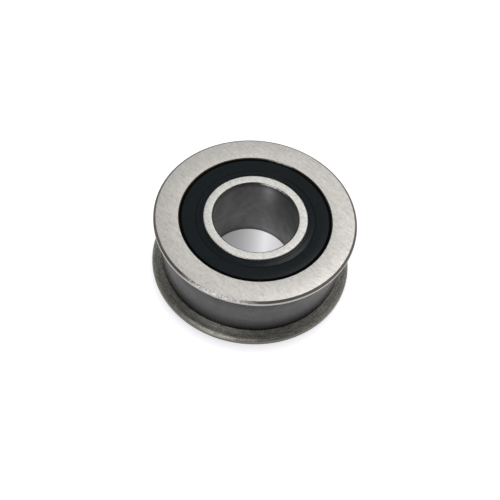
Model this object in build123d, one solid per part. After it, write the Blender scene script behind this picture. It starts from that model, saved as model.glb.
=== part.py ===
from build123d import *
import math
import os

os.makedirs("parts", exist_ok=True)

# Chain roller: a grooved steel ring that turns on its own sealed double-row ball bearing.
# The origin is the roller's centre and +Z runs along the axle. Sizes are in millimetres.
# The sizes add up from the bore outwards and from the mid-plane towards the end faces,
# to a roller 72 across, 30 in the bore, 27 wide over the flanges and 28 over the inner ring.

# Bearing, from the bore outwards
bore_diameter = 30.0
inner_race_wall = 3.2
ball_diameter = 9.525
race_clearance = 0.05
outer_race_wall = 4.675
flange_height = 3.5
shoulder_height = 2.0
race_conformity = 0.52
balls_per_row = 10

# Bearing, from the mid-plane outwards
row_gap = 1.95
cage_back_wall = 1.0
cage_end_gap = 0.3
seal_thickness = 1.45
seal_recess = 0.25
inner_ring_proud = 0.5

# Chain groove between the two flanges
flange_base_width = 4.3
flange_rim_width = 1.8
rim_bevel_width = 0.85
rim_bevel_height = 0.5
rim_inner_radius = 0.8
relief_width = 1.2
relief_depth = 0.25

# Inner ring ends
inner_end_wall = 3.5
bore_chamfer = 0.5
land_chamfer = 0.25
shoulder_land = 0.9
land_slope = 0.6

# Snap groove that holds each seal
seal_ledge = 1.175
snap_groove_depth = 0.5
snap_groove_width = 0.8
mouth_chamfer = 0.3

# Seals
snap_clearance = 0.05
bead_end_gap = 0.1
seal_edge_gap = 0.9
seal_edge_radius = 0.3
seal_line_width = 0.3
seal_line_depth = 0.15
lip_clearance = 0.05
lip_width = 2.5
lip_rise = 0.2
lip_edge_radius = 0.15
lip_line_width = 0.2
lip_line_depth = 0.08
lip_line_inset = 0.75
lip_land = 0.6
lip_back_slope = 1.6

# Cages
cage_radial_gap = 1.0
pocket_clearance = 0.14
prong_reach = 2.2
prong_slot_width = 2.2
prong_slot_depth = 3.4

# Radii that follow from the sizes above
ball_radius = ball_diameter / 2
bore_radius = bore_diameter / 2
inner_race_radius = bore_radius + inner_race_wall
pitch_radius = inner_race_radius + race_clearance + ball_radius
outer_race_radius = pitch_radius + ball_radius + race_clearance
tread_radius = outer_race_radius + outer_race_wall
roller_radius = tread_radius + flange_height
race_groove_radius = race_conformity * ball_diameter
inner_shoulder_radius = inner_race_radius + shoulder_height
outer_shoulder_radius = outer_race_radius - shoulder_height
land_radius = bore_radius + inner_end_wall
mouth_radius = outer_shoulder_radius + seal_ledge
snap_groove_radius = mouth_radius + snap_groove_depth
seal_web_radius = mouth_radius - seal_edge_gap
lip_radius = land_radius + lip_clearance

# Heights above the mid-plane that follow from the sizes above
row_height = ball_radius + row_gap / 2
cage_end = row_height + ball_radius + cage_back_wall
seal_back = cage_end + cage_end_gap
seal_front = seal_back + seal_thickness
outer_end = seal_front + seal_recess
inner_end = outer_end + inner_ring_proud
row_turn = 180 / balls_per_row


def turned(upper_corners):
    """Revolve a section that is the same above and below the mid-plane.

    Each corner is its radius, its height above the mid-plane and its rounding.
    """
    lower_corners = [(radius, -height, rounding) for radius, height, rounding in reversed(upper_corners)]
    return revolved(upper_corners + lower_corners)


def revolved(corners):
    """Revolve a closed section about the axle."""
    points = [(radius, height) for radius, height, rounding in corners]
    roundings = [rounding for radius, height, rounding in corners]
    outline = FilletPolyline(*points, radius=roundings, close=True)
    return revolve(Plane.XZ * make_face(outline), axis=Axis.Z)


def race_grooves(centre_radius):
    """Both ball tracks, as the rings of round section that are cut from a bearing ring."""
    groove = Torus(centre_radius, race_groove_radius)
    return [Pos(0, 0, row_height) * groove, Pos(0, 0, -row_height) * groove]


def outer_ring():
    """Flanged ring with the chain tread outside and two ball tracks inside."""
    flange_base = outer_end - flange_base_width
    flange_rim = outer_end - flange_rim_width
    relief_radius = tread_radius - relief_depth
    corners = [
        (tread_radius, flange_base - relief_width, 0),
        (relief_radius, flange_base - relief_width + relief_depth, 0),
        (relief_radius, flange_base, relief_depth / 2),
        (tread_radius, flange_base, 0),
        (roller_radius, flange_rim, rim_inner_radius),
        (roller_radius, outer_end - rim_bevel_height, 0),
        (roller_radius - rim_bevel_width, outer_end, 0),
        (mouth_radius + mouth_chamfer, outer_end, 0),
        (mouth_radius, outer_end - mouth_chamfer, 0),
        (mouth_radius, seal_back + snap_groove_width, 0),
        (snap_groove_radius, seal_back + snap_groove_width, 0),
        (snap_groove_radius, seal_back, 0),
        (outer_shoulder_radius, seal_back, 0),
    ]
    return turned(corners) - race_grooves(outer_race_radius - race_groove_radius)


def inner_ring():
    """Bored ring with the inner ball tracks and a ground land for each seal lip."""
    shoulder_end = row_height + race_half_width() + shoulder_land
    corners = [
        (inner_shoulder_radius, shoulder_end, 0),
        (land_radius, shoulder_end + land_slope, 0),
        (land_radius, inner_end - land_chamfer, 0),
        (land_radius - land_chamfer, inner_end, 0),
        (bore_radius + bore_chamfer, inner_end, 0),
        (bore_radius, inner_end - bore_chamfer, 0),
    ]
    return turned(corners) - race_grooves(inner_race_radius + race_groove_radius)


def race_half_width():
    """Half the width of a ball track where it meets its shoulder."""
    return math.sqrt(race_groove_radius**2 - (race_groove_radius - shoulder_height) ** 2)


def upper_seal():
    """Moulded seal: a bead in the ring's snap groove, a flat web and a lip that rises to the inner ring."""
    lip_outer = lip_radius + lip_width
    lip_top = seal_front + lip_rise
    line_inner = lip_radius + lip_line_inset
    line_outer = lip_outer + seal_line_width
    bead_top = seal_back + snap_groove_width - bead_end_gap
    corners = [
        (snap_groove_radius - snap_clearance, seal_back, 0),
        (snap_groove_radius - snap_clearance, bead_top, 0),
        (mouth_radius - snap_clearance, bead_top, 0),
        (seal_web_radius, seal_front, seal_edge_radius),
        (line_outer, seal_front, 0),
        (lip_outer + seal_line_width / 2, seal_front - seal_line_depth, 0),
        (lip_outer, seal_front, 0),
        (line_inner + lip_line_width, lip_height(line_inner + lip_line_width), 0),
        (line_inner + lip_line_width / 2, lip_height(line_inner) - lip_line_depth, 0),
        (line_inner, lip_height(line_inner), 0),
        (lip_radius, lip_top, lip_edge_radius),
        (lip_radius, lip_top - lip_land, 0),
        (lip_radius + lip_back_slope, seal_back, 0),
    ]
    return revolved(corners)


def lip_height(radius):
    """Height of the lip's sloping face at a radius."""
    return seal_front + lip_rise * (lip_radius + lip_width - radius) / lip_width


def upper_cage():
    """One-piece snap cage: a ring behind the balls, with round pockets and springy prongs."""
    prong_end = row_height - prong_reach
    inner_radius = inner_shoulder_radius + cage_radial_gap
    outer_radius = outer_shoulder_radius - cage_radial_gap
    corners = [
        (inner_radius, prong_end, 0),
        (outer_radius, prong_end, 0),
        (outer_radius, cage_end, 0),
        (inner_radius, cage_end, 0),
    ]
    pocket = Sphere(ball_radius + pocket_clearance)
    pockets = [Pos(0, 0, row_height) * place * pocket for place in ball_places()]
    slot_profile = Circle(prong_slot_width / 2) + Pos(0, -prong_slot_depth / 2) * Rectangle(
        prong_slot_width, prong_slot_depth
    )
    slot = extrude(Plane.YZ * slot_profile, amount=outer_radius)
    slot_height = prong_end + prong_slot_depth - prong_slot_width / 2
    slots = [Pos(0, 0, slot_height) * Rot(0, 0, row_turn) * Rot(0, 0, 2 * row_turn * step) * slot
             for step in range(balls_per_row)]
    return revolved(corners) - pockets - slots


def ball_places():
    """Where the balls of the upper row stand around the axle, seen from above."""
    return list(PolarLocations(pitch_radius, balls_per_row))


def lower(piece):
    """The same piece turned over for the lower row, which stands half a ball pitch round."""
    return Rot(0, 0, row_turn) * mirror(piece, about=Plane.XY)


def balls():
    """Every ball in its place, named by its row and its number round the row."""
    placed = {}
    for number, place in enumerate(ball_places(), start=1):
        ball = Pos(0, 0, row_height) * Pos(place.position) * Sphere(ball_radius)
        placed[f"upper_ball_{number}"] = ball
        placed[f"lower_ball_{number}"] = lower(ball)
    return placed


def roller():
    """Every piece of the roller, by name."""
    cage = upper_cage()
    seal = upper_seal()
    return {
        "outer_ring": outer_ring(),
        "inner_ring": inner_ring(),
        "upper_seal": seal,
        "lower_seal": lower(seal),
        "upper_cage": cage,
        "lower_cage": lower(cage),
        **balls(),
    }


for name, piece in roller().items():
    piece.label = name
    export_step(piece, f"parts/{name}.step")
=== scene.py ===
"""Looks of a chain roller: ground and turned steel, moulded seals, the worn rim, the stage and the camera.

Lengths are in metres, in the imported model's own frame: the origin is the roller's centre and +Z its axle.
"""

import math

import bpy
from mathutils import Matrix, Vector


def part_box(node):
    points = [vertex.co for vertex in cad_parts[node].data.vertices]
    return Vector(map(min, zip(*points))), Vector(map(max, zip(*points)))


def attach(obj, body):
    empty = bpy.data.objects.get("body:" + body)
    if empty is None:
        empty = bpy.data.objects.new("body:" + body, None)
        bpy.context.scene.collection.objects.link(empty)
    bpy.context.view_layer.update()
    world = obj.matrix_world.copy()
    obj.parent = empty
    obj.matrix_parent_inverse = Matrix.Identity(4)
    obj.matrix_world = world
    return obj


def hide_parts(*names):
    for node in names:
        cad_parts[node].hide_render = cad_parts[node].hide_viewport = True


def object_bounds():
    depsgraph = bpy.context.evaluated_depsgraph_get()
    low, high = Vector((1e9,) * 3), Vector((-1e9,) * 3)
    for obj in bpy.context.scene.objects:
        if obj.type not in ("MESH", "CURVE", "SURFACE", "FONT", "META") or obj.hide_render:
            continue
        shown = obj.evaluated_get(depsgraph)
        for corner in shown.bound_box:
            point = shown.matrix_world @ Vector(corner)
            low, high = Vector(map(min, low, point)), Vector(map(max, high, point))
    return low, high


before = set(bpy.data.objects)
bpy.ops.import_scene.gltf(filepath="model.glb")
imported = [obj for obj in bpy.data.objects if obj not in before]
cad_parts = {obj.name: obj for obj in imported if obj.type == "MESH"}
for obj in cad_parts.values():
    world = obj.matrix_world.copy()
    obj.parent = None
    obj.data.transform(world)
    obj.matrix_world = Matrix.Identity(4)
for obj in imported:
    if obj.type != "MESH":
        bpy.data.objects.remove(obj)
cad_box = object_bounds()
ring_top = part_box("outer_ring")[1]
inner_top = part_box("inner_ring")[1]
seal_foot, seal_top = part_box("upper_seal")
ball_foot, ball_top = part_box("upper_ball_1")

bl_info = {
    "name": "Chain Roller",
    "version": (1, 0, 0),
    "blender": (4, 5, 0),
    "location": "3D View > Sidebar > Chain Roller",
    "description": "Builds a sealed, flanged chain roller with its finishes, stage and camera",
    "category": "Object",
}

MM = 0.001

# Stretches of a turned section, each with its own finish
FINISHES = ("Face", "Bevel", "Rim", "Side", "Tread", "Pocket", "Bore", "Track")
FACE, BEVEL, RIM, SIDE, TREAD, POCKET, BORE, TRACK = range(len(FINISHES))

# Ball tracks: their curve as a share of the ball's diameter, and the straight steps that draw it
RACE_CONFORMITY = 0.52
TRACK_STEPS = 12

# Grinding strokes: their heading in the end face in degrees, their width, their length and their seed. Real
# ones are a few hundredths of a millimetre wide, and these are drawn as coarse as they need to be to show.
MAIN_STROKES = (143, 0.24 * MM, 5 * MM, 0.0)
STEEP_STROKES = (116, 0.22 * MM, 3.5 * MM, 7.3)
FLAT_STROKES = (172, 0.22 * MM, 3.5 * MM, 3.1)

# Width of the lines from turning, drawn coarser than the real feed for the same reason
TURNING_WIDTH = 0.3 * MM
EDGE_TURNING_WIDTH = 0.16 * MM

# Quarter turn that stretches reflections across the lines instead of along them
ACROSS_LINES = 0.25

# Where most of a noise lies between 0 and 1, and most of the sum of two
NOISE_SPAN = (0.3, 0.7)
SUM_SPAN = (0.7, 1.3)

# The sheet of paper, and how far it lies below the roller so that the two faces never coincide
PAPER_HALF_WIDTH = 3.0
PAPER_DROP = 0.02 * MM

# Kinds of node that come up often. RANGE takes a value, the range it comes from and the one it goes to,
# and clamps it. MIX takes inputs 6 and 7 and gives output 2 for colours, and COMPARE takes inputs 2 and 3
# for whole numbers.
MATHS = "ShaderNodeMath"
WHOLE_MATHS = "FunctionNodeIntegerMath"
RANGE = "ShaderNodeMapRange"
VECTOR = "ShaderNodeVectorMath"
MIX = "ShaderNodeMix"
NOISE = "ShaderNodeTexNoise"
BUMP = "ShaderNodeBump"
COMPARE = "FunctionNodeCompare"
ATTRIBUTE = "GeometryNodeInputNamedAttribute"


def linear(hex_colour):
    """An sRGB hex colour as linear red, green and blue, with full alpha."""
    parts = [int(hex_colour[i : i + 2], 16) / 255 for i in (1, 3, 5)]
    curve = [part / 12.92 if part <= 0.04045 else ((part + 0.055) / 1.055) ** 2.4 for part in parts]
    return (*curve, 1.0)


def length(name, description, default):
    """A length that a user may change."""
    return bpy.props.FloatProperty(
        name=name, description=description, default=default, unit="LENGTH", precision=5
    )


def angle(name, description, degrees):
    """An angle that a user may change."""
    return bpy.props.FloatProperty(
        name=name, description=description, default=math.radians(degrees), unit="ROTATION", subtype="ANGLE"
    )


def level(name, description, default):
    """A plain number that a user may change."""
    return bpy.props.FloatProperty(name=name, description=description, default=default, min=0.0)


def colour(name, description, hex_colour):
    """A colour that a user may change."""
    return bpy.props.FloatVectorProperty(
        name=name, description=description, default=linear(hex_colour), size=4, subtype="COLOR",
        min=0.0, max=1.0,
    )


class RollerSizes(bpy.types.PropertyGroup):
    """Sizes of the turned pieces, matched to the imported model."""

    roller_radius: length("Roller radius", "Outside of both flanges", ring_top.x)
    outer_end: length("Outer ring end", "Height of the outer ring's end face", ring_top.z)
    inner_end: length("Inner ring end", "Height of the inner ring's end face", inner_top.z)
    inner_shoulder: length("Inner shoulder", "Radius beside the inner tracks", inner_top.x)
    lip_top: length("Lip top", "Height of the seal's lip beside the inner ring", seal_top.z)
    seal_back: length("Seal back", "Height of the ledge that the seal sits on", seal_foot.z)
    seal_bead: length("Seal bead", "Radius of the seal's bead in its snap groove", seal_top.x)
    row_height: length("Ball row", "Height of the upper ball row", (ball_foot.z + ball_top.z) / 2)
    ball: length("Ball", "Ball diameter", ball_top.z - ball_foot.z)
    tread_radius: length("Tread radius", "Where the chain runs", 32.5 * MM)
    flange_base: length("Flange base", "Width of a flange at the tread", 4.3 * MM)
    flange_rim: length("Flange rim", "Width of a flange at its rim", 1.8 * MM)
    bevel_width: length("Rim bevel width", "Bevel between rim and end face, along the radius", 0.85 * MM)
    bevel_height: length("Rim bevel height", "The same bevel along the axle", 0.5 * MM)
    rim_rounding: length("Rim rounding", "Rounding of the rim's chain side", 0.8 * MM)
    relief_width: length("Relief width", "Undercut beside each flange", 1.2 * MM)
    relief_depth: length("Relief depth", "Depth of the undercut", 0.25 * MM)
    race_clearance: length("Race clearance", "Gap between a ball and its track", 0.05 * MM)
    shoulder_height: length("Shoulder height", "Depth of each ball track", 2.0 * MM)
    inner_race: length("Inner race", "Radius at the bottom of the inner tracks", 18.2 * MM)
    shoulder_land: length("Shoulder land", "Width of the shoulder outside each track", 0.9 * MM)
    land_slope: length("Land slope", "Width of the step down to the lip's land", 0.6 * MM)
    bore_radius: length("Bore radius", "Hole for the pin", 15.0 * MM)
    end_wall: length("End wall", "Width of the inner ring's end with its chamfers", 3.5 * MM)
    bore_chamfer: length("Bore chamfer", "Chamfer at each end of the bore", 0.5 * MM)
    land_chamfer: length("Land chamfer", "Edge of the inner ring's outside", 0.25 * MM)
    mouth_radius: length("Mouth radius", "Pocket that the seal sits in", 27.0 * MM)
    mouth_chamfer: length("Mouth chamfer", "Edge of that pocket", 0.3 * MM)
    snap_depth: length("Snap groove depth", "Groove for the seal's bead", 0.5 * MM)
    snap_width: length("Snap groove width", "Width of that groove", 0.8 * MM)
    bead_gap: length("Bead gap", "Room beside the bead", 0.1 * MM)
    web_radius: length("Web radius", "Outside of the seal's raised web", 26.1 * MM)
    web_rounding: length("Web rounding", "Rounding of the web's outer edge", 0.3 * MM)
    lip_clearance: length("Lip clearance", "Gap between the lip and its land", 0.05 * MM)
    lip_width: length("Lip width", "Width of the seal's rising lip", 2.5 * MM)
    lip_rise: length("Lip rise", "How far the lip rises above the web", 0.2 * MM)
    line_width: length("Line width", "Groove between web and lip", 0.3 * MM)
    line_depth: length("Line depth", "Depth of that groove", 0.15 * MM)
    lip_line_inset: length("Lip line inset", "Width of the lip inside its fine groove", 0.75 * MM)
    lip_line_width: length("Lip line width", "Width of the lip's fine groove", 0.2 * MM)
    lip_line_depth: length("Lip line depth", "Depth of the lip's fine groove", 0.08 * MM)
    lip_land: length("Lip land", "Height of the lip's rubbing edge", 0.6 * MM)
    lip_slope: length("Lip back slope", "Width of the slope behind the lip", 1.6 * MM)


class RollerWearAndGlints(bpy.types.PropertyGroup):
    """The knocked stretch of the upper rim, and two painted glints on edges.

    Angles run around the axle, from -180 to 180 degrees.
    """

    place: angle("Place", "Middle of the knocked stretch", -106)
    spread: angle("Spread", "Half the length of the stretch", 22)
    depth: length("Depth", "How deep the knocks are", 0.1 * MM)
    size: length("Knock size", "How wide one knock is", 0.6 * MM)
    # Painted highlight: the pocket's glint is a bright stretch of colour on its edge
    glint: angle("Glint", "Middle of the rubbed stretch of the pocket's edge", 76)
    glint_spread: angle("Glint spread", "Half the length of that stretch", 9)
    # Painted highlight: the bore's glint is a bright stretch of colour on its chamfer
    bore_glint: angle("Bore glint", "Middle of the rubbed stretch of the bore's edge", 67)
    bore_glint_spread: angle("Bore glint spread", "Half the length of that stretch", 22)


class RollerColours(bpy.types.PropertyGroup):
    """Colours of the finishes."""

    ground: colour("Ground face", "Ground end faces of the outer ring", "#dedbd5")
    inner: colour("Inner face", "Finely ground end faces of the inner ring", "#f3f1ec")
    rim: colour("Ground rim", "Rim of the upper flange, bright from handling", "#b8b5b0")
    # Painted shade: the lower flange's rim gets a darker copy of the rim's colour, for the shade near the
    # paper
    shaded_rim: colour("Dull rim", "Rim of the lower flange", "#94918a")
    bevel: colour("Turned bevel", "Bevels of the rims", "#827e78")
    bright_steel: colour("Bare steel", "Fresh steel where the rim is knocked", "#fdfbf7")
    tread: colour("Hardened tread", "The tread that the chain runs on", "#646464")
    side: colour("Hardened side", "Sides of the flanges", "#83817a")
    pocket: colour("Pocket", "Chamfer and wall of the seal's pocket", "#635b51")
    bore: colour("Ground bore", "The bore", "#919191")
    chamfer: colour("Turned chamfer", "Chamfers of the bore, left dark from hardening", "#605e58")
    rubber: colour("Seal rubber", "Moulded seals", "#1a2225")
    cage: colour("Cage plastic", "Natural polyamide", "#cdbf9b")
    ball: colour("Ball steel", "Lapped bearing balls", "#d2d3d4")
    paper: colour("Paper", "Floor", "#e8e8eb")
    paper_light: colour("Paper light", "Tint of the light that comes up through the paper", "#fdfdff")


class StageLook(bpy.types.PropertyGroup):
    """Camera, room, lamps and paper."""

    elevation: angle("Camera elevation", "How far above the floor the camera looks from", 54.18)
    roll: angle("Camera roll", "Turn of the picture", 7.15)
    distance: length("Camera distance", "From the camera to the top face's plane", 453.9 * MM)
    aim_right: length("Aim right", "How far right of the top face's centre the camera stands", -0.566 * MM)
    aim_up: length("Aim up", "How far above it, across the view", -11.548 * MM)
    lens: level("Focal length", "Lens in millimetres on a 36 mm sensor", 92.88)
    front_room: level("Front of the room", "Brightness of the room behind the camera", 0.16)
    back_room: level("Back of the room", "Brightness of the walls behind and beside the roller", 0.54)
    key: level("Key lamp", "Radiance of the lamp at the front left", 3.6)
    low: level("Low lamp", "Radiance of the lamp below it, near the table", 6.0)
    top: level("Top lamp", "Radiance of the small lamp high at the back right", 7.6)
    glow: level("Paper glow", "How much the paper glows where nothing covers it", 0.8)
    under_glow: level("Paper glow underneath", "How much it glows inside the bore", 0.67)


def add(tree, kind, inputs=(), **settings):
    """Add one node with its settings, its input values and the links into it.

    Inputs are given by name or number, or in order. A node among them stands for its first output.
    """
    made = tree.nodes.new(kind)
    for name, value in settings.items():
        setattr(made, name, value)
    pairs = inputs.items() if isinstance(inputs, dict) else enumerate(inputs)
    for socket, value in pairs:
        if isinstance(value, bpy.types.Node):
            value = value.outputs[0]
        if isinstance(value, bpy.types.NodeSocket):
            tree.links.new(value, made.inputs[socket])
        else:
            made.inputs[socket].default_value = value
    return made


def new_material(name):
    """An empty material's tree, and where a point lies in its own piece."""
    material = bpy.data.materials.new(name)
    material.use_nodes = True
    tree = material.node_tree
    tree.nodes.clear()
    return tree, add(tree, "ShaderNodeTexCoord").outputs["Object"]


def surface(tree, inputs):
    """End a material in its one surface shader."""
    shader = add(tree, "ShaderNodeBsdfPrincipled", inputs)
    add(tree, "ShaderNodeOutputMaterial", {"Surface": shader})


def around_axle(tree, point):
    """Radius, angle and height of a point."""
    east, north, height = add(tree, "ShaderNodeSeparateXYZ", (point,)).outputs
    flat = add(tree, "ShaderNodeCombineXYZ", (east, north))
    radius = add(tree, VECTOR, (flat,), operation="LENGTH").outputs["Value"]
    return radius, add(tree, MATHS, (north, east), operation="ARCTAN2"), height


def blotches(tree, here, size, detail=2.0, seed=0.0):
    """Soft blotches of one size, all over the piece."""
    moved = add(tree, VECTOR, (here, (seed, seed, seed)))
    return add(tree, NOISE, {"Vector": moved, "Scale": 1 / size, "Detail": detail, "Roughness": 0.6})


def grinding_lines(tree, here, heading, width, stroke, seed):
    """Straight strokes of one grinding pass: noise that is stretched along a heading in the end face."""
    turn = {"Vector": here, "Angle": -math.radians(heading)}
    turned = add(tree, "ShaderNodeVectorRotate", turn, rotation_type="Z_AXIS")
    stretched = add(tree, VECTOR, (turned, (1 / stroke, 1 / width, 1 / stroke)), operation="MULTIPLY")
    moved = add(tree, VECTOR, (stretched, (seed, seed, seed)))
    return add(tree, NOISE, {"Vector": moved, "Scale": 1.0, "Detail": 3.0, "Roughness": 0.65})


def turning_lines(tree, here, width, stroke):
    """Fine rings from a tool or a wheel: noise that is long around the axle and short along the section."""
    lean = 1.37  # share of the radius in the height, so that flat faces get lines as well
    radius, azimuth, height = around_axle(tree, here)
    inwards = add(tree, MATHS, (radius, lean / width), operation="MULTIPLY")
    stretched = add(tree, VECTOR, (here, (1 / stroke, 1 / stroke, 1 / width)), operation="MULTIPLY")
    vector = add(tree, VECTOR, (stretched, add(tree, "ShaderNodeCombineXYZ", {"Z": inwards})))
    return add(tree, NOISE, {"Vector": vector, "Scale": 1.0, "Detail": 3.0, "Roughness": 0.6})


def along_lines(tree, here):
    """The direction in which the lines of a turned surface run, around the axle."""
    along = add(tree, VECTOR, ((0.0, 0.0, 1.0), here), operation="CROSS_PRODUCT")
    unit = add(tree, VECTOR, (along,), operation="NORMALIZE")
    spaces = {"vector_type": "VECTOR", "convert_from": "OBJECT", "convert_to": "WORLD"}
    return add(tree, "ShaderNodeVectorTransform", (unit,), **spaces)


def away_from(tree, value, middle):
    """How far a value lies from a middle, to either side."""
    difference = add(tree, MATHS, (value, middle), operation="SUBTRACT")
    return add(tree, MATHS, (difference,), operation="ABSOLUTE")


def stretch_weight(tree, here, middle, half, end=1):
    """One along a stretch around one end, fading out to either side and towards the mid-plane.

    End is 1 for the upper end and -1 for the lower one.
    """
    radius, azimuth, height = around_axle(tree, here)
    core = 0.55 * half
    reach = 1.1 * half
    near = add(tree, RANGE, (away_from(tree, azimuth, middle), core, reach, 1.0, 0.0))
    there = add(tree, RANGE, (height, 0.0, end * MM))
    return add(tree, MATHS, (near, there), operation="MULTIPLY")


def height_darkening(tree, here, undarkened, fully_darkened, darkest):
    """Tone that falls from one height above the mid-plane to another, alike at both ends."""
    radius, azimuth, height = around_axle(tree, here)
    from_middle = add(tree, MATHS, (height,), operation="ABSOLUTE")
    return add(tree, RANGE, (from_middle, undarkened, fully_darkened, 1.0, darkest))


def side_highlight_and_shade(tree, here, rim, middle, half):
    """Tone of a flange's side: a painted highlight beside the rim, most along one stretch, with a strip of
    painted shade within.
    """
    plain = 0.88
    highlight_from = rim - 1.3 * MM
    highlight_to = rim - 0.6 * MM
    shade_band = rim - 1.6 * MM
    shade_band_core = 0.3 * MM
    shade_band_reach = 0.9 * MM
    radius, azimuth, height = around_axle(tree, here)
    stretch = stretch_weight(tree, here, middle, half, end=-1)
    # Painted highlight beside the rim and a strip of painted shade inside it, both strongest where the key
    # lamp's reflection falls
    ring = add(tree, RANGE, (radius, highlight_from, highlight_to))
    highlight_strength = add(tree, RANGE, (stretch, 0.0, 1.0, 0.4, 1.3))
    highlighted = add(tree, MATHS, (ring, highlight_strength, plain), operation="MULTIPLY_ADD")
    off_shade_band = away_from(tree, radius, shade_band)
    painted_shade = add(tree, RANGE, (off_shade_band, shade_band_core, shade_band_reach, -0.3, 0.0))
    return add(tree, MATHS, (stretch, painted_shade, highlighted), operation="MULTIPLY_ADD")


def ground_face(name, base, roughness, contrast, stains):
    """Surface-ground bearing steel: straight crossed strokes, faint clouds and a few grey stains."""
    tree, here = new_material(name)
    main = grinding_lines(tree, here, *MAIN_STROKES)
    steep = grinding_lines(tree, here, *STEEP_STROKES)
    flat = grinding_lines(tree, here, *FLAT_STROKES)
    where = add(tree, RANGE, (blotches(tree, here, 12 * MM, seed=0.05), 0.44, 0.6))
    crossing = add(tree, MIX, {0: where, 2: steep, 3: flat}, data_type="FLOAT")
    strokes = add(tree, MATHS, (main, crossing), operation="ADD")
    lines = add(tree, MATHS, (strokes, 0.5), operation="MULTIPLY")
    clouds = blotches(tree, here, 1.0 * MM, detail=5.0)
    clouded = add(tree, MATHS, (clouds, 0.4, lines), operation="MULTIPLY_ADD")
    tone = add(tree, RANGE, (clouded, 0.55, 0.85, 1.0 - contrast, 1.0 + contrast))
    grain = blotches(tree, here, 0.9 * MM, detail=4.0, seed=0.31)
    spots = add(tree, RANGE, (grain, 0.6, 0.72, 1.0, 1.0 - stains))
    stained = add(tree, MATHS, (tone, spots), operation="MULTIPLY")
    surface(tree, {
        "Base Color": add(tree, VECTOR, {0: base[:3], "Scale": stained}, operation="SCALE"),
        "Metallic": 1.0,
        "Roughness": add(tree, RANGE, (lines, *NOISE_SPAN, roughness + 0.05, roughness - 0.05)),
        "Normal": add(tree, BUMP, {"Height": lines, "Strength": 0.2, "Distance": 0.012 * MM}),
    })


def turned_steel(name, base, roughness, contrast, stroke, cloud, combing, wear_and_light):
    """Steel with fine rings from turning or grinding, and clouds from its heat treatment.

    The last argument is a function that takes the tree and a point's place and gives a tone: painted shade
    on the tread, painted highlight and shade on the flanges' sides, and darkening towards the bore's
    mouths.
    """
    tree, here = new_material(name)
    clouds = blotches(tree, here, cloud, detail=5.0)
    lines = turning_lines(tree, here, TURNING_WIDTH, stroke)
    clouded = add(tree, MATHS, (lines, clouds), operation="ADD")
    tone = add(tree, RANGE, (clouded, *SUM_SPAN, 1.0 - contrast, 1.0 + contrast))
    worn_and_lit = add(tree, MATHS, (tone, wear_and_light(tree, here)), operation="MULTIPLY")
    surface(tree, {
        "Base Color": add(tree, VECTOR, {0: base[:3], "Scale": worn_and_lit}, operation="SCALE"),
        "Metallic": 1.0,
        "Roughness": add(tree, RANGE, (clouds, *NOISE_SPAN, roughness + 0.06, roughness - 0.06)),
        "Normal": add(tree, BUMP, {"Height": clouded, "Strength": 0.4, "Distance": 0.02 * MM}),
        "Tangent": along_lines(tree, here),
        "Anisotropic": combing,
        "Anisotropic Rotation": ACROSS_LINES,
    })


def worn_and_glinting_edge(name, upper_base, lower_base, bright_steel, roughness, middle, half):
    """Turned steel of an edge, with a colour for each end, and bright along one upper stretch, as scuffed
    fresh steel on a knocked edge and as a painted glint on the pocket's and the bore's edges.
    """
    tree, here = new_material(name)
    radius, azimuth, height = around_axle(tree, here)
    lines = turning_lines(tree, here, EDGE_TURNING_WIDTH, 7 * MM)
    grain = blotches(tree, here, 0.45 * MM, detail=4.0)
    patches = add(tree, RANGE, (blotches(tree, here, 0.7 * MM, detail=5.0, seed=0.7), 0.36, 0.56, 0.2))
    # The stretch is real wear on a knocked edge, and a painted glint on the pocket's and the bore's edges
    worn_and_lit = stretch_weight(tree, here, middle, half)
    bared_and_glinting = add(tree, MATHS, (worn_and_lit, patches), operation="MULTIPLY")
    grained = add(tree, MATHS, (lines, grain), operation="ADD")
    tone = add(tree, RANGE, (grained, *SUM_SPAN, 0.82, 1.18))
    upper = add(tree, RANGE, (height, -1 * MM, 1 * MM))
    skin = add(tree, MIX, {0: upper, 6: lower_base, 7: upper_base}, data_type="RGBA").outputs[2]
    plain = add(tree, VECTOR, {0: skin, "Scale": tone}, operation="SCALE")
    rough = add(tree, MATHS, (worn_and_lit, grain), operation="MULTIPLY")
    surface(tree, {
        "Base Color": add(tree, MIX, {0: bared_and_glinting, 6: plain, 7: bright_steel}, data_type="RGBA").outputs[2],
        "Metallic": 1.0,
        "Roughness": roughness,
        "Normal": add(tree, BUMP, {
            "Height": add(tree, MATHS, (lines, 0.1, rough), operation="MULTIPLY_ADD"),
            "Strength": 0.6,
            "Distance": 0.12 * MM,
        }),
        "Tangent": along_lines(tree, here),
        "Anisotropic": 0.4,
        "Anisotropic Rotation": ACROSS_LINES,
    })


def moulded_rubber(name, base, edge):
    """Nitrile rubber from a satin mould: nearly black with a soft sheen, and painted shade in the gap
    outside its edge.
    """
    gap_shade = 0.15
    gap_shade_width = 0.2 * MM
    tree, here = new_material(name)
    radius, azimuth, height = around_axle(tree, here)
    clouds = add(tree, RANGE, (blotches(tree, here, 1.6 * MM, detail=4.0), *NOISE_SPAN, 0.85, 1.15))
    # Painted shade in the gap between the seal and its pocket, where it is also rough so that it shines
    # less
    undarkened = add(tree, RANGE, (radius, edge - gap_shade_width, edge, 1.0, gap_shade))
    tone = add(tree, MATHS, (clouds, undarkened), operation="MULTIPLY")
    lines = turning_lines(tree, here, TURNING_WIDTH, 12 * MM)
    surface(tree, {
        "Base Color": add(tree, VECTOR, {0: base[:3], "Scale": tone}, operation="SCALE"),
        "Roughness": add(tree, RANGE, (undarkened, gap_shade, 1.0, 0.9, 0.25)),
        "Specular IOR Level": 0.125,
        "Normal": add(tree, BUMP, {"Height": lines, "Strength": 0.4, "Distance": 0.01 * MM}),
    })


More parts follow.
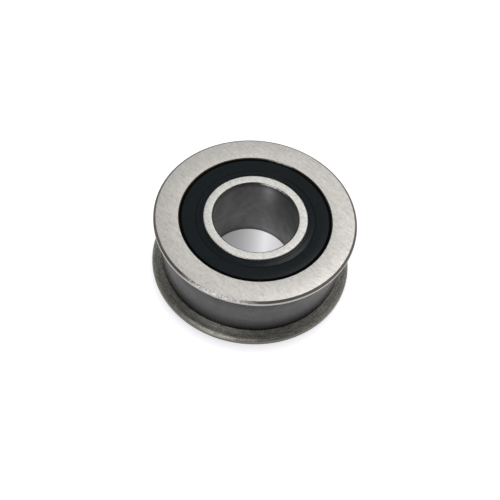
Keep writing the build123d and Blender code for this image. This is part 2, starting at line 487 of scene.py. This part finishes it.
def lapped_steel(name, base):
    """Lapped bearing steel: mirror-bright, with the faintest haze."""
    tree, here = new_material(name)
    haze = add(tree, RANGE, (blotches(tree, here, 3 * MM), *NOISE_SPAN, 0.06, 0.14))
    surface(tree, {"Base Color": base, "Metallic": 1.0, "Roughness": haze})


def natural_polyamide(name, base):
    """Injection-moulded natural polyamide: ivory, slightly see-through and satin."""
    tree, here = new_material(name)
    tone = add(tree, RANGE, (blotches(tree, here, 4 * MM), *NOISE_SPAN, 0.9, 1.08))
    surface(tree, {
        "Base Color": add(tree, VECTOR, {0: base[:3], "Scale": tone}, operation="SCALE"),
        "Roughness": 0.45,
        "Subsurface Weight": 0.15,
        "Subsurface Scale": 1.5 * MM,
    })


def section_rows(tree, given):
    """Round the section's corners, and count its points."""
    line = add(tree, "GeometryNodeMeshToCurve", (given["Section"],))
    radius = add(tree, ATTRIBUTE, ("rounding",), data_type="FLOAT")
    inputs = {"Curve": line, "Radius": radius, "Limit Radius": True, "Count": given["Corner Steps"]}
    rounded = add(tree, "GeometryNodeFilletCurve", inputs, mode="POLY")
    count = add(tree, "GeometryNodeAttributeDomainSize", (rounded,), component="CURVE")
    return rounded, count.outputs["Point Count"]


def revolve(tree, given):
    """Revolve the section about the axle, as a grid with a row for each of the section's points."""
    rounded, rows = section_rows(tree, given)
    columns = add(tree, WHOLE_MATHS, (given["Steps Around"], 1), operation="ADD")
    grid = add(tree, "GeometryNodeMeshGrid", {"Vertices X": columns, "Vertices Y": rows})
    index = add(tree, "GeometryNodeInputIndex")
    marked = with_finish(tree, grid, rounded, rows, index)
    row = add(tree, WHOLE_MATHS, (index, rows), operation="MODULO")
    inputs = {"Geometry": rounded, "Value": add(tree, "GeometryNodeInputPosition"), "Index": row}
    at_row = add(tree, "GeometryNodeSampleIndex", inputs, data_type="FLOAT_VECTOR", domain="POINT")
    column = add(tree, WHOLE_MATHS, (index, rows), operation="DIVIDE_FLOOR")
    part = add(tree, MATHS, (column, given["Steps Around"]), operation="DIVIDE")
    turn = add(tree, MATHS, (part, 2 * math.pi), operation="MULTIPLY")
    around = add(tree, "ShaderNodeVectorRotate", {"Vector": at_row, "Angle": turn}, rotation_type="Z_AXIS")
    return add(tree, "GeometryNodeSetPosition", {"Geometry": marked, "Position": around})


def with_finish(tree, grid, rounded, rows, index):
    """Store on each face the finish of the section's stretch that it comes from."""
    finish = add(tree, ATTRIBUTE, ("finish",), data_type="INT")
    face_rows = add(tree, WHOLE_MATHS, (rows, 1), operation="SUBTRACT")
    row = add(tree, WHOLE_MATHS, (index, face_rows), operation="MODULO")
    inputs = {"Geometry": rounded, "Value": finish, "Index": row}
    at_row = add(tree, "GeometryNodeSampleIndex", inputs, data_type="INT", domain="POINT")
    inputs = {"Geometry": grid, "Name": "finish", "Value": at_row}
    return add(tree, "GeometryNodeStoreNamedAttribute", inputs, data_type="INT", domain="FACE")


def mirrored(tree, given, shape):
    """Add the same shape below the mid-plane where it is asked for."""
    turned = add(tree, "GeometryNodeTransform", {"Geometry": shape, "Scale": (1.0, 1.0, -1.0)})
    flipped = add(tree, "GeometryNodeFlipFaces", (turned,))
    both = add(tree, "GeometryNodeJoinGeometry", (flipped,))
    tree.links.new(shape.outputs[0], both.inputs[0])
    switch = {"Switch": given["Both Ends"], "False": shape, "True": both}
    chosen = add(tree, "GeometryNodeSwitch", switch, input_type="GEOMETRY")
    return add(tree, "GeometryNodeMergeByDistance", {"Geometry": chosen, "Distance": 0.0002 * MM})


def knocked(tree, given, shape):
    """Dent the upper rim towards the axle and down, along its knocked stretch."""
    reach = 0.6 * MM
    down = (0.0, 0.0, -0.7)
    position = add(tree, "GeometryNodeInputPosition")
    radius, azimuth, height = around_axle(tree, position)
    away = away_from(tree, azimuth, given["Knock Place"])
    share = add(tree, MATHS, (away, given["Knock Spread"]), operation="DIVIDE")
    near = add(tree, RANGE, (share, 0.5, 1.0, 1.0, 0.0))
    inwards = add(tree, MATHS, (given["Knock Radius"], radius), operation="SUBTRACT")
    outermost = add(tree, RANGE, (inwards, 0.0, reach, 1.0, 0.0))
    where = add(tree, MATHS, (near, outermost), operation="MULTIPLY")
    scale = add(tree, MATHS, (1.0, given["Knock Size"]), operation="DIVIDE")
    noise = add(tree, NOISE, {"Vector": position, "Scale": scale, "Detail": 1.0, "Roughness": 0.6})
    dents = add(tree, RANGE, (noise, 0.42, 0.7))
    deep = add(tree, MATHS, (dents, given["Knock Depth"]), operation="MULTIPLY")
    depth = add(tree, MATHS, (deep, where), operation="MULTIPLY")
    opposite = add(tree, VECTOR, (position, (-1.0, -1.0, 0.0)), operation="MULTIPLY")
    to_axle = add(tree, VECTOR, (opposite,), operation="NORMALIZE")
    heading = add(tree, VECTOR, (to_axle, down))
    offset = add(tree, VECTOR, {0: heading, "Scale": depth}, operation="SCALE")
    upper = add(tree, COMPARE, (height, given["Knock Height"]), operation="GREATER_THAN")
    return add(tree, "GeometryNodeSetPosition", {"Geometry": shape, "Selection": upper, "Offset": offset})


def creased(tree, given, shape):
    """Shade round stretches smooth and leave real edges sharp."""
    smooth = add(tree, "GeometryNodeSetShadeSmooth", {"Geometry": shape, "Shade Smooth": True})
    bend = add(tree, "GeometryNodeInputMeshEdgeAngle").outputs["Unsigned Angle"]
    sharp = add(tree, COMPARE, (bend, given["Crease Angle"]), operation="GREATER_THAN")
    inputs = {"Geometry": smooth, "Selection": sharp, "Shade Smooth": False}
    return add(tree, "GeometryNodeSetShadeSmooth", inputs, domain="EDGE")


def finished(tree, given, shape):
    """Give each stretch its material."""
    shape = add(tree, "GeometryNodeRealizeInstances", (shape,))
    stored = add(tree, ATTRIBUTE, ("finish",), data_type="INT")
    for number, finish in enumerate(FINISHES):
        chosen = add(tree, COMPARE, {2: stored, 3: number}, data_type="INT", operation="EQUAL")
        inputs = {"Geometry": shape, "Selection": chosen, "Material": given[finish]}
        shape = add(tree, "GeometryNodeSetMaterial", inputs)
    return shape


def turned_piece_tree():
    """Geometry Nodes that turn a section into a finished piece.

    The section is a line of points in the XZ plane, from one side of the piece to the other. Each point
    holds the rounding of its corner and the finish of the stretch that starts there.
    """
    tree = bpy.data.node_groups.new("Turned Piece", "GeometryNodeTree")
    face = tree.interface
    face.new_socket("Section", in_out="INPUT", socket_type="NodeSocketGeometry")
    face.new_socket("Piece", in_out="OUTPUT", socket_type="NodeSocketGeometry")
    for name, kind, default in (
        ("Steps Around", "NodeSocketInt", 360),
        ("Corner Steps", "NodeSocketInt", 3),
        ("Both Ends", "NodeSocketBool", True),
        ("Crease Angle", "NodeSocketFloat", math.radians(13)),
        ("Knock Place", "NodeSocketFloat", 0.0),
        ("Knock Spread", "NodeSocketFloat", 0.3),
        ("Knock Depth", "NodeSocketFloat", 0.0),
        ("Knock Size", "NodeSocketFloat", 1 * MM),
        ("Knock Radius", "NodeSocketFloat", 36 * MM),
        ("Knock Height", "NodeSocketFloat", 11 * MM),
    ):
        face.new_socket(name, in_out="INPUT", socket_type=kind).default_value = default
    for finish in FINISHES:
        face.new_socket(finish, in_out="INPUT", socket_type="NodeSocketMaterial")
    given = add(tree, "NodeGroupInput").outputs
    shape = mirrored(tree, given, revolve(tree, given))
    shape = creased(tree, given, knocked(tree, given, shape))
    add(tree, "NodeGroupOutput", (finished(tree, given, shape),))
    return tree


def section_mesh(name, corners):
    """A line of points in the XZ plane, from corners of radius, height, rounding and finish."""
    mesh = bpy.data.meshes.new(name)
    points = [(radius, 0.0, height) for radius, height, *rest in corners]
    links = [(number, number + 1) for number in range(len(corners) - 1)]
    mesh.from_pydata(points, links, [])
    roundings = [corner[2] for corner in corners]
    finishes = [corner[3] for corner in corners]
    mesh.attributes.new("rounding", "FLOAT", "POINT").data.foreach_set("value", roundings)
    mesh.attributes.new("finish", "INT", "POINT").data.foreach_set("value", finishes)
    return mesh


def turned_piece(name, corners, materials, **settings):
    """Turn a section with the node tree and keep the result as a plain mesh."""
    piece = bpy.data.objects.new(name, section_mesh(name, corners))
    bpy.context.scene.collection.objects.link(piece)
    modifier = piece.modifiers.new("Turned Piece", "NODES")
    modifier.node_group = bpy.data.node_groups.get("Turned Piece") or turned_piece_tree()
    sockets = {item.name: item.identifier for item in modifier.node_group.interface.items_tree}
    for label, value in settings.items():
        modifier[sockets[label.replace("_", " ").title()]] = value
    for finish, material in materials.items():
        modifier[sockets[FINISHES[finish]]] = bpy.data.materials[material]
    shown = piece.evaluated_get(bpy.context.evaluated_depsgraph_get())
    mesh = bpy.data.meshes.new_from_object(shown)
    mesh.materials.pop(index=0)  # the grid's own empty slot
    piece.modifiers.clear()
    piece.data = mesh
    return piece


def ball_track(sizes, bottom, side):
    """The upper ball track from its outer to its inner edge. Side is 1 outside the balls and -1 inside."""
    curve = RACE_CONFORMITY * sizes.ball
    centre = bottom - side * curve
    reach = math.acos((curve - sizes.shoulder_height) / curve)
    angles = [reach - 2 * reach * step / TRACK_STEPS for step in range(TRACK_STEPS + 1)]
    return [
        (centre + side * curve * math.cos(turn), sizes.row_height + curve * math.sin(turn), 0.0, TRACK)
        for turn in angles
    ]


def put_on(piece, node, body):
    """Put a piece in its node's place, on its body."""
    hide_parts(node)
    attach(piece, body)


class ROLLER_OT_finishes(bpy.types.Operator):
    """Make the materials of every piece."""

    bl_idname = "roller.finishes"
    bl_label = "Finishes"

    def execute(self, context):
        scene = context.scene
        self.make_flat_finishes(scene.roller_colours)
        self.make_edge_finishes(scene.roller_colours, scene.roller_wear)
        self.make_turned_finishes(scene.roller_colours, scene.roller_sizes, scene.roller_wear)
        self.make_inner_finishes(scene.roller_colours, scene.roller_sizes)
        return {"FINISHED"}

    def make_flat_finishes(self, colours):
        """Steel of the end faces."""
        # The outer ring's faces are surface-ground: bright, with crossed strokes that show from afar
        ground_face("ground_end_steel", colours.ground, roughness=0.43, contrast=0.19, stains=0.0)
        # The inner ring's faces are ground finer: nearly white, with small grey stains
        ground_face("ground_inner_steel", colours.inner, roughness=0.5, contrast=0.22, stains=0.45)

    def make_edge_finishes(self, colours, wear_and_light):
        """Steel of the edges, each marked along one stretch: scuffed on the knocked bevel and rim, with
        painted glints on the pocket's and the bore's edges.
        """
        # Turned bevel between rim and end face: grey, and scuffed to fresh steel where the rim is knocked
        worn_and_glinting_edge(
            "worn_bevel_steel", colours.bevel, colours.bevel, colours.bright_steel, roughness=0.5,
            middle=wear_and_light.place, half=wear_and_light.spread,
        )
        # Ground rim: smoother than the bevel, and darker on the lower flange as painted shade
        worn_and_glinting_edge(
            "ground_rim_steel", colours.rim, colours.shaded_rim, colours.rim, roughness=0.38,
            middle=wear_and_light.place, half=wear_and_light.spread,
        )
        # Turned wall and chamfer of the seal's pocket: brownish from oil, with one painted glint
        worn_and_glinting_edge(
            "turned_pocket_steel", colours.pocket, colours.pocket, colours.ground, roughness=0.5,
            middle=wear_and_light.glint, half=wear_and_light.glint_spread,
        )
        # Chamfer of the bore: a dark line around the hole, with one painted glint
        worn_and_glinting_edge(
            "turned_chamfer_steel", colours.chamfer, colours.chamfer, colours.ground, roughness=0.4,
            middle=wear_and_light.bore_glint, half=wear_and_light.bore_glint_spread,
        )

    def make_turned_finishes(self, colours, sizes, wear_and_light):
        """Steel of the turned and bored surfaces, with fine rings."""
        rim = sizes.roller_radius
        mouth = sizes.inner_end
        # Hardened tread, polished by the chain: smooth and grey, with painted shade towards the flanges
        turned_steel(
            "hardened_tread_steel", colours.tread, roughness=0.27, contrast=0.14, stroke=9 * MM,
            cloud=4 * MM, combing=0.6, wear_and_light=lambda tree, here: height_darkening(tree, here, 2 * MM, 9 * MM, 0.32),
        )
        # Hardened sides of the flanges: mottled and rough, with a painted highlight beside the rim and a
        # strip of painted shade within it, both strongest where the key lamp's reflection falls
        turned_steel(
            "hardened_side_steel", colours.side, roughness=0.52, contrast=0.55, stroke=3 * MM,
            cloud=0.55 * MM, combing=0.3,
            wear_and_light=lambda tree, here: side_highlight_and_shade(tree, here, rim, wear_and_light.place, 1.4 * wear_and_light.spread),
        )
        # Ground bore: satin, with reflections that stretch along the axle, and darker towards both mouths
        turned_steel(
            "ground_bore_steel", colours.bore, roughness=0.48, contrast=0.12, stroke=9 * MM,
            cloud=3 * MM, combing=0.9,
            wear_and_light=lambda tree, here: height_darkening(tree, here, mouth - 2.5 * MM, mouth - 0.6 * MM, 0.5),
        )

    def make_inner_finishes(self, colours, sizes):
        """Materials of the balls, the seals and the cages, whose functions say how they look."""
        lapped_steel("lapped_ball_steel", colours.ball)
        moulded_rubber("moulded_seal_rubber", colours.rubber, sizes.web_radius)
        natural_polyamide("natural_polyamide", colours.cage)


class ROLLER_OT_outer_ring(bpy.types.Operator):
    """Turn the flanged outer ring with its tread, ground faces and seal pockets."""

    bl_idname = "roller.outer_ring"
    bl_label = "Outer Ring"

    def execute(self, context):
        sizes = context.scene.roller_sizes
        wear_and_light = context.scene.roller_wear
        materials = {
            FACE: "ground_end_steel",
            RIM: "ground_rim_steel",
            TREAD: "hardened_tread_steel",
            SIDE: "hardened_side_steel",
            BEVEL: "worn_bevel_steel",
            POCKET: "turned_pocket_steel",
            TRACK: "lapped_ball_steel",
        }
        ring = turned_piece(
            "flanged_outer_ring", self.corners(sizes), materials, steps_around=900, knock_place=wear_and_light.place,
            knock_spread=wear_and_light.spread, knock_depth=wear_and_light.depth, knock_size=wear_and_light.size,
            knock_radius=sizes.roller_radius,
        )
        put_on(ring, "outer_ring", "outer_body")
        return {"FINISHED"}

    def corners(self, sizes):
        """The upper half of the section, from the middle of the tread round to the middle of the tracks."""
        base = sizes.outer_end - sizes.flange_base
        relief_radius = sizes.tread_radius - sizes.relief_depth
        snap_radius = sizes.mouth_radius + sizes.snap_depth
        snap_top = sizes.seal_back + sizes.snap_width
        track = ball_track(sizes, sizes.inner_race + sizes.ball + 2 * sizes.race_clearance, 1)
        return [
            (sizes.tread_radius, 0.0, 0.0, TREAD),
            (sizes.tread_radius, base - sizes.relief_width, 0.0, TREAD),
            (relief_radius, base - sizes.relief_width + sizes.relief_depth, 0.0, TREAD),
            (relief_radius, base, sizes.relief_depth / 2, TREAD),
            (sizes.tread_radius, base, 0.1 * MM, SIDE),
            (sizes.roller_radius, sizes.outer_end - sizes.flange_rim, sizes.rim_rounding, RIM),
            (sizes.roller_radius, sizes.outer_end - sizes.bevel_height, 0.25 * MM, BEVEL),
            (sizes.roller_radius - sizes.bevel_width, sizes.outer_end, 0.12 * MM, FACE),
            (sizes.mouth_radius + sizes.mouth_chamfer, sizes.outer_end, 0.06 * MM, POCKET),
            (sizes.mouth_radius, sizes.outer_end - sizes.mouth_chamfer, 0.1 * MM, POCKET),
            (sizes.mouth_radius, snap_top, 0.0, POCKET),
            (snap_radius, snap_top, 0.0, POCKET),
            (snap_radius, sizes.seal_back, 0.0, POCKET),
            (track[0][0], sizes.seal_back, 0.1 * MM, TRACK),
            *track,
            (track[-1][0], 0.0, 0.0, TRACK),
        ]


class ROLLER_OT_inner_ring(bpy.types.Operator):
    """Turn the bored inner ring with its ground end faces."""

    bl_idname = "roller.inner_ring"
    bl_label = "Inner Ring"

    def execute(self, context):
        materials = {
            FACE: "ground_inner_steel",
            BEVEL: "turned_chamfer_steel",
            RIM: "ground_rim_steel",
            BORE: "ground_bore_steel",
            TRACK: "lapped_ball_steel",
        }
        corners = self.corners(context.scene.roller_sizes)
        ring = turned_piece("bored_inner_ring", corners, materials, steps_around=360)
        put_on(ring, "inner_ring", "inner_body")
        return {"FINISHED"}

    def corners(self, sizes):
        """The upper half of the section, from the middle of the tracks round to the middle of the bore."""
        track = ball_track(sizes, sizes.inner_race, -1)
        shoulder_end = track[0][1] + sizes.shoulder_land
        land = sizes.bore_radius + sizes.end_wall
        return [
            (track[-1][0], 0.0, 0.0, TRACK),
            *reversed(track),
            (sizes.inner_shoulder, shoulder_end, 0.0, RIM),
            (land, shoulder_end + sizes.land_slope, 0.0, RIM),
            (land, sizes.inner_end - sizes.land_chamfer, 0.1 * MM, RIM),
            (land - sizes.land_chamfer, sizes.inner_end, 0.1 * MM, FACE),
            (sizes.bore_radius + sizes.bore_chamfer, sizes.inner_end, 0.1 * MM, BEVEL),
            (sizes.bore_radius, sizes.inner_end - sizes.bore_chamfer, 0.15 * MM, BORE),
            (sizes.bore_radius, 0.0, 0.0, BORE),
        ]


class ROLLER_OT_seals(bpy.types.Operator):
    """Mould the two seals."""

    bl_idname = "roller.seals"
    bl_label = "Seals"

    def execute(self, context):
        upper = self.corners(context.scene.roller_sizes)
        lower = [(radius, -height, *rest) for radius, height, *rest in reversed(upper)]
        materials = {FACE: "moulded_seal_rubber"}
        for end, corners in (("upper", upper), ("lower", lower)):
            seal = turned_piece(f"{end}_rubber_seal", corners, materials, steps_around=360, both_ends=False)
            put_on(seal, f"{end}_seal", "outer_body")
        return {"FINISHED"}

    def corners(self, sizes):
        """The upper seal's whole section: its bead, its web, its lip, and back along its underside."""
        front = sizes.lip_top - sizes.lip_rise
        lip = sizes.bore_radius + sizes.end_wall + sizes.lip_clearance
        lip_outer = lip + sizes.lip_width
        line = lip + sizes.lip_line_inset
        line_middle = sizes.lip_line_inset + sizes.lip_line_width / 2
        line_top = sizes.lip_top - sizes.lip_rise * line_middle / sizes.lip_width
        bead_top = sizes.seal_back + sizes.snap_width - sizes.bead_gap
        corners = [
            (sizes.seal_bead, sizes.seal_back, 0.0),
            (sizes.seal_bead, bead_top, 0.15 * MM),
            (sizes.mouth_radius - sizes.lip_clearance, bead_top, 0.05 * MM),
            (sizes.web_radius, front, sizes.web_rounding),
            (lip_outer + sizes.line_width, front, 0.05 * MM),
            (lip_outer + sizes.line_width / 2, front - sizes.line_depth, 0.0),
            (lip_outer, front, 0.05 * MM),
            (line + sizes.lip_line_width, line_top, 0.0),
            (line + sizes.lip_line_width / 2, line_top - sizes.lip_line_depth, 0.0),
            (line, line_top, 0.05 * MM),
            (lip, sizes.lip_top, 0.2 * MM),
            (lip, sizes.lip_top - sizes.lip_land, 0.0),
            (lip + sizes.lip_slope, sizes.seal_back, 0.0),
            (sizes.seal_bead, sizes.seal_back, 0.0),
        ]
        return [(*corner, FACE) for corner in corners]


class ROLLER_OT_balls_and_cages(bpy.types.Operator):
    """Give the balls and cages their finishes."""

    bl_idname = "roller.balls_and_cages"
    bl_label = "Balls and Cages"

    def execute(self, context):
        for name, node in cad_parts.items():
            for word, material in (("ball", "lapped_ball_steel"), ("cage", "natural_polyamide")):
                if word in name:
                    node.data.materials.clear()
                    node.data.materials.append(bpy.data.materials[material])
        return {"FINISHED"}


def add_lamp(name, radiance, size, azimuth, elevation, distance):
    """A square lamp of even radiance that faces the roller from a direction, given in degrees."""
    data = bpy.data.lights.new(name, "AREA")
    data.size = size
    data.energy = radiance * math.pi * size * size
    lamp = bpy.data.objects.new(name, data)
    flat = math.cos(math.radians(elevation))
    direction = Vector((
        flat * math.cos(math.radians(azimuth)),
        flat * math.sin(math.radians(azimuth)),
        math.sin(math.radians(elevation)),
    ))
    lamp.location = direction * distance
    lamp.rotation_euler = direction.to_track_quat("Z", "Y").to_euler()
    bpy.context.scene.collection.objects.link(lamp)


def mirrored_glow(tree, radius, sizes):
    """Share of the paper's glow that the steel mirrors: most away from the roller, and inside the bore,
    with a painted shadow of the roller in the reflections near its rim.
    """
    faint = 0.3
    strong = 0.9
    rim = sizes.roller_radius
    bore = sizes.bore_radius
    outside = add(tree, RANGE, (radius, rim, 1.35 * rim, faint, strong))
    inside = add(tree, RANGE, (radius, bore, 1.2 * bore, strong, faint))
    return add(tree, MATHS, (outside, inside), operation="MAXIMUM")


def bore_glow(tree, east, full, bore):
    """Glow of the paper inside the bore, painted light and shade that rise from the left and fall off at
    the right.
    """
    left = 0.3 * full
    right = 0.55
    across = add(tree, RANGE, (east, -bore, 0.27 * bore))
    rise = add(tree, MATHS, (across, 3.0), operation="POWER")
    risen = add(tree, RANGE, (rise, 0.0, 1.0, left, full))
    fall = add(tree, RANGE, (east, 0.33 * bore, bore, 1.0, right))
    return add(tree, MATHS, (fall, risen), operation="MULTIPLY")


def contact_glow(tree, radius, north, full, rim):
    """Glow of the paper around the roller, a quarter less close beside it: a painted shadow, deepest in
    front.
    """
    reach = add(tree, MATHS, (north, 0.05, radius), operation="MULTIPLY_ADD")
    return add(tree, RANGE, (reach, 0.96 * rim, 1.05 * rim, 0.75 * full, full))


def white_paper(look, sizes, colours):
    """White paper on a light table: it glows, with a painted shadow around the roller and painted light and
    shade in its bore, and is clear from below.
    """
    tree, here = new_material("white_paper")
    rays = add(tree, "ShaderNodeLightPath").outputs
    east, north, up = add(tree, "ShaderNodeSeparateXYZ", (here,)).outputs
    radius, azimuth, height = around_axle(tree, here)
    rim = sizes.roller_radius
    inside = bore_glow(tree, east, look.under_glow, sizes.bore_radius)
    outside = contact_glow(tree, radius, north, look.glow, rim)
    strength = add(tree, RANGE, (radius, 0.5 * rim, 1.02 * rim, inside, outside))
    seen = add(tree, MATHS, (rays["Is Camera Ray"], rays["Is Transmission Ray"]), operation="MAXIMUM")
    share = mirrored_glow(tree, radius, sizes)
    glossy = add(tree, MATHS, (rays["Is Glossy Ray"], share), operation="MULTIPLY")
    shown = add(tree, MATHS, (seen, glossy), operation="MAXIMUM")
    shown_strength = add(tree, MATHS, (strength, shown), operation="MULTIPLY")
    paper = add(tree, "ShaderNodeBsdfDiffuse", {"Color": colours.paper})
    glow = add(tree, "ShaderNodeEmission", {"Color": colours.paper_light, "Strength": shown_strength})
    sheet = add(tree, "ShaderNodeAddShader", (paper, glow))
    clear = add(tree, "ShaderNodeBsdfTransparent")
    underside = add(tree, "ShaderNodeNewGeometry").outputs["Backfacing"]
    from_below = add(tree, MATHS, (underside, rays["Is Camera Ray"]), operation="MULTIPLY")
    chosen = add(tree, "ShaderNodeMixShader", (from_below, sheet, clear))
    add(tree, "ShaderNodeOutputMaterial", {"Surface": chosen})


class ROLLER_OT_stage(bpy.types.Operator):
    """Lay the paper, hang the lamps and set the camera at the photograph's angle."""

    bl_idname = "roller.stage"
    bl_label = "Stage"

    def execute(self, context):
        look = context.scene.stage_look
        white_paper(look, context.scene.roller_sizes, context.scene.roller_colours)
        self.lay_paper(context.scene)
        self.set_world(context.scene, look)
        add_lamp("key_lamp", look.key, size=0.22, azimuth=243, elevation=51, distance=0.75)
        add_lamp("low_lamp", look.low, size=0.2, azimuth=247, elevation=15, distance=0.75)
        add_lamp("top_lamp", look.top, size=0.13, azimuth=63, elevation=63, distance=0.7)
        self.set_camera(context.scene, look)
        context.scene.view_settings.view_transform = "Standard"
        return {"FINISHED"}

    def lay_paper(self, scene):
        """A sheet of white paper under the roller."""
        half = PAPER_HALF_WIDTH
        low = cad_box[0].z - PAPER_DROP
        mesh = bpy.data.meshes.new("paper")
        corners = [(-half, -half, low), (half, -half, low), (half, half, low), (-half, half, low)]
        mesh.from_pydata(corners, [], [(0, 1, 2, 3)])
        mesh.materials.append(bpy.data.materials["white_paper"])
        paper = bpy.data.objects.new("paper", mesh)
        scene.collection.objects.link(paper)

    def set_world(self, scene, look):
        """A room that shows white and lights the roller softly, most from the back and from low down."""
        bright_side = (0.3, 1.0, -0.35)
        world = bpy.data.worlds.new("studio")
        scene.world = world
        world.use_nodes = True
        tree = world.node_tree
        tree.nodes.clear()
        rays = add(tree, "ShaderNodeLightPath").outputs
        seen = add(tree, MATHS, (rays["Is Camera Ray"], rays["Is Transmission Ray"]), operation="MAXIMUM")
        direction = add(tree, "ShaderNodeTexCoord").outputs["Object"]
        lean = add(tree, VECTOR, (direction, bright_side), operation="DOT_PRODUCT").outputs["Value"]
        strength = add(tree, RANGE, (lean, -0.6, 0.0, look.front_room, look.back_room))
        dome = add(tree, "ShaderNodeBackground", {"Color": linear("#ffffff"), "Strength": strength})
        white = add(tree, "ShaderNodeBackground", {"Color": linear("#ffffff"), "Strength": 1.0})
        both = add(tree, "ShaderNodeMixShader", (seen, dome, white))
        add(tree, "ShaderNodeOutputWorld", {"Surface": both})

    def set_camera(self, scene, look):
        """The camera that the circles in the photograph give: it looks down and is rolled a little."""
        forward = Vector((0.0, math.cos(look.elevation), -math.sin(look.elevation)))
        up = Vector((0.0, math.sin(look.elevation), math.cos(look.elevation)))
        right = Vector((1.0, 0.0, 0.0))
        data = bpy.data.cameras.new("camera")
        data.lens = look.lens
        data.sensor_width = 36.0
        data.clip_start = 0.01
        camera = bpy.data.objects.new("camera", data)
        scene.collection.objects.link(camera)
        top = Vector((0.0, 0.0, scene.roller_sizes.outer_end))
        camera.location = top + look.aim_right * right + look.aim_up * up - look.distance * forward
        turn = Matrix((right, up, -forward)).transposed() @ Matrix.Rotation(look.roll, 3, "Z")
        camera.rotation_euler = turn.to_euler()
        scene.camera = camera


class ROLLER_PT_panel(bpy.types.Panel):
    """Lists the roller's sizes, colours and steps."""

    bl_idname = "ROLLER_PT_panel"
    bl_label = "Chain Roller"
    bl_space_type = "VIEW_3D"
    bl_region_type = "UI"
    bl_category = "Chain Roller"

    def draw(self, context):
        for group in (getattr(context.scene, name) for name in GROUPS):
            column = self.layout.column(align=True)
            for name in group.bl_rna.properties.keys():
                if name not in {"rna_type", "name"}:
                    column.prop(group, name)
        for step in STEPS:
            self.layout.operator(step.bl_idname)


GROUPS = {
    "roller_sizes": RollerSizes,
    "roller_wear": RollerWearAndGlints,
    "roller_colours": RollerColours,
    "stage_look": StageLook,
}
STEPS = (
    ROLLER_OT_finishes,
    ROLLER_OT_outer_ring,
    ROLLER_OT_inner_ring,
    ROLLER_OT_seals,
    ROLLER_OT_balls_and_cages,
    ROLLER_OT_stage,
)


def register():
    """Register every class, and give each scene its groups of sizes, knocks and glints, colours and looks.
    """
    for kind in (*GROUPS.values(), *STEPS, ROLLER_PT_panel):
        bpy.utils.register_class(kind)
    for name, kind in GROUPS.items():
        setattr(bpy.types.Scene, name, bpy.props.PointerProperty(type=kind))


def unregister():
    """Undo what register does."""
    for name in GROUPS:
        delattr(bpy.types.Scene, name)
    for kind in reversed((*GROUPS.values(), *STEPS, ROLLER_PT_panel)):
        bpy.utils.unregister_class(kind)


def main():
    """Register the add-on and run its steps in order."""
    register()
    bpy.ops.roller.finishes()
    bpy.ops.roller.outer_ring()
    bpy.ops.roller.inner_ring()
    bpy.ops.roller.seals()
    bpy.ops.roller.balls_and_cages()
    bpy.ops.roller.stage()
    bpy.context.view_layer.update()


if __name__ == "__main__":
    main()
